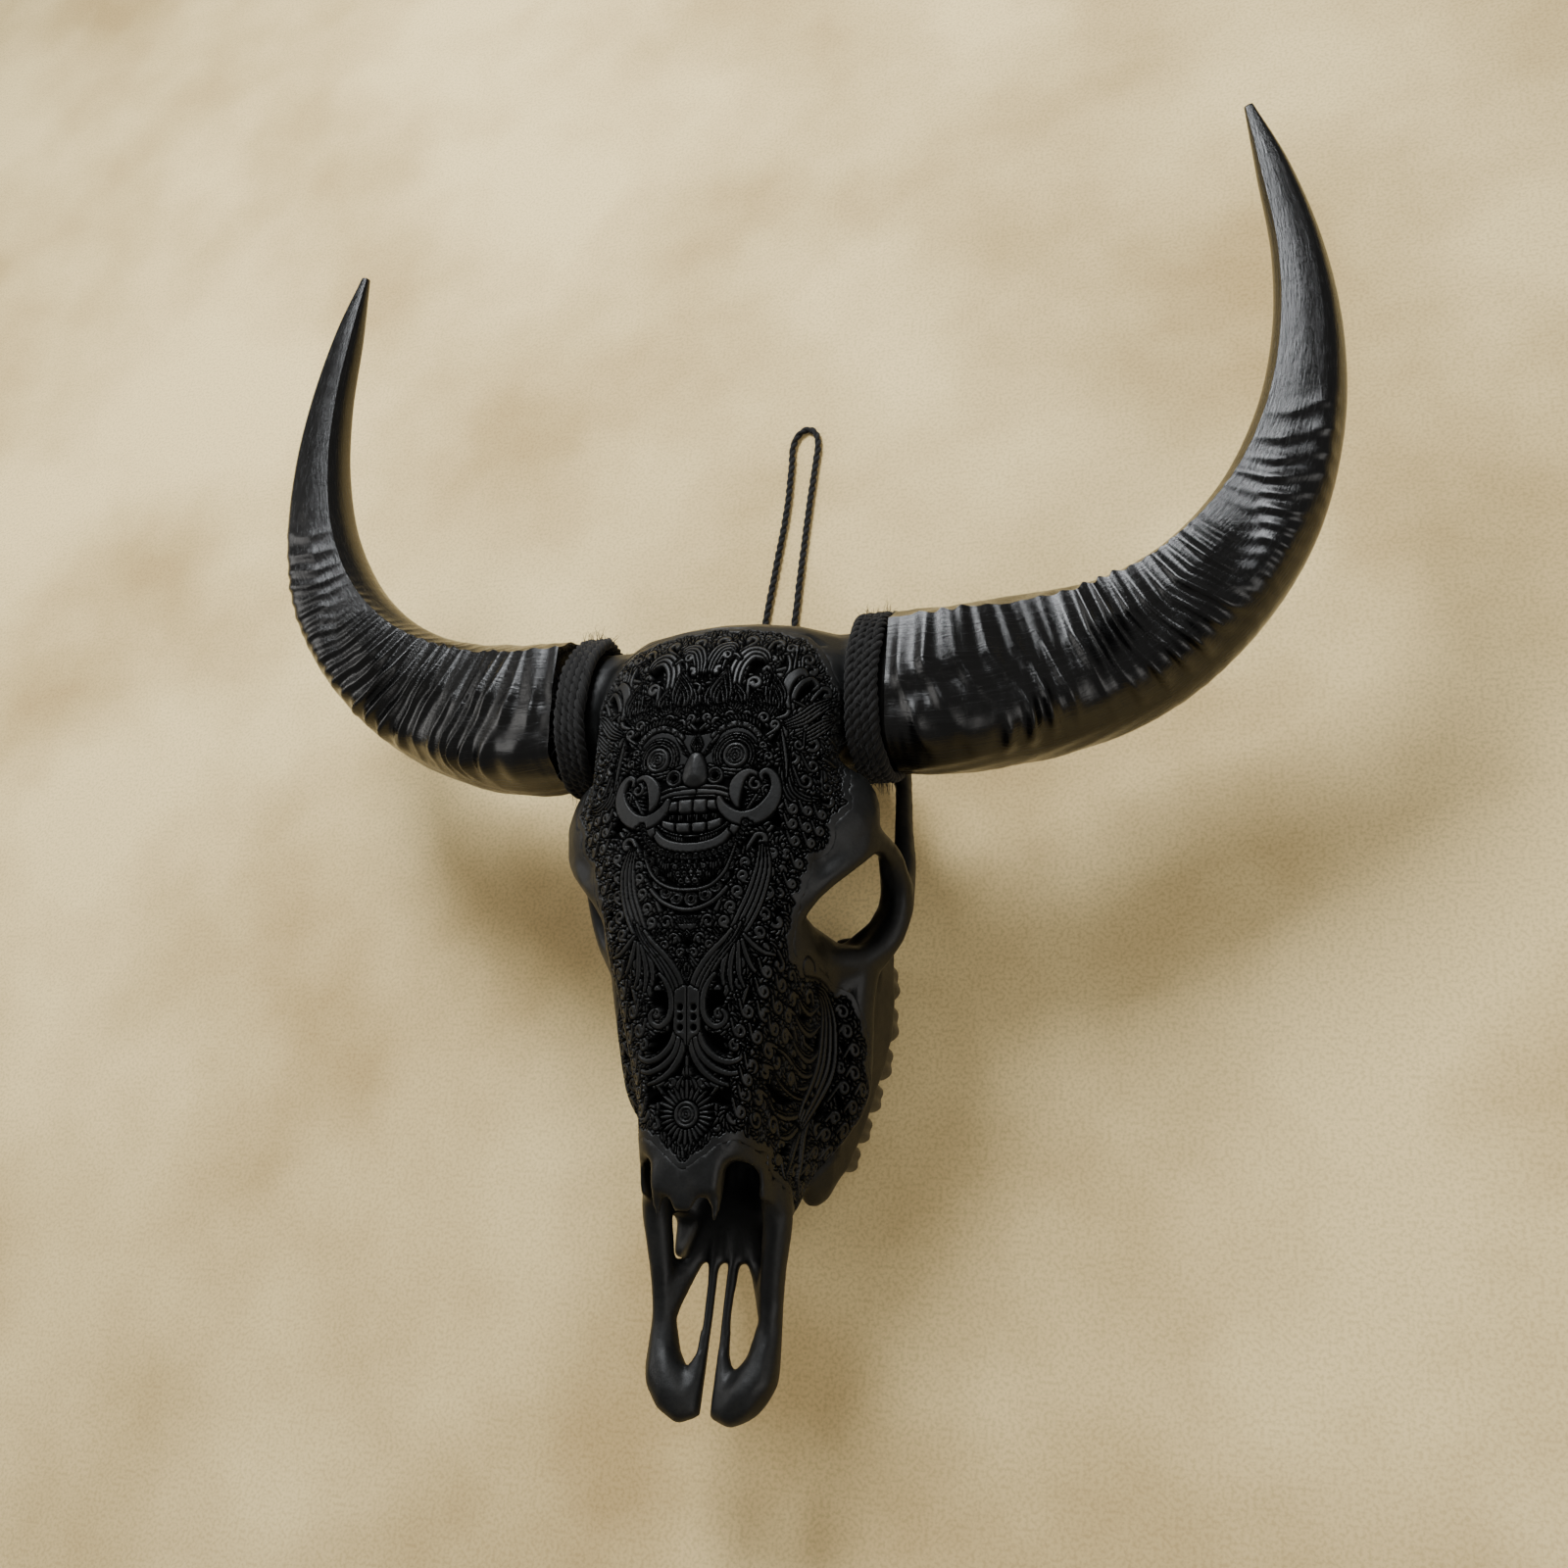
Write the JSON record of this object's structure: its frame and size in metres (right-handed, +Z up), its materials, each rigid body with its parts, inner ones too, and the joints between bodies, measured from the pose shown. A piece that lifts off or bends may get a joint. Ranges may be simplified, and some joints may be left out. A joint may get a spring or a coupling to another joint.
{
  "type": "carved buffalo skull",
  "caption": "Black-stained water buffalo skull with carved forehead and muzzle, ridged curved horns lashed on with rope, and a hanging cord loop; lies flat.",
  "frame": {"origin": "on the surface the skull lies on, under the middle of the skull with its horns", "axes": "+X to the skull's left horn as the picture shows it on the right, +Y from muzzle to horn tips, +Z up out of the forehead"},
  "size_m": [0.777, 0.8144, 0.2201],
  "materials": {
    "bone": "matt black stained bone",
    "enamel": "black stained tooth",
    "horn": "polished black horn",
    "fibre": "black plant fibre rope"
  },
  "bodies": {
    "root": {"skull": "bone", "horn_left": "horn", "horn_right": "horn", "horn_rope_left": "fibre", "horn_rope_right": "fibre", "hanging_cord": "fibre", "tooth_left_1": "enamel", "tooth_left_2": "enamel", "tooth_left_3": "enamel", "tooth_left_4": "enamel", "tooth_left_5": "enamel", "tooth_left_6": "enamel", "tooth_right_1": "enamel", "tooth_right_2": "enamel", "tooth_right_3": "enamel", "tooth_right_4": "enamel", "tooth_right_5": "enamel", "tooth_right_6": "enamel"}
  },
  "joints": []
}
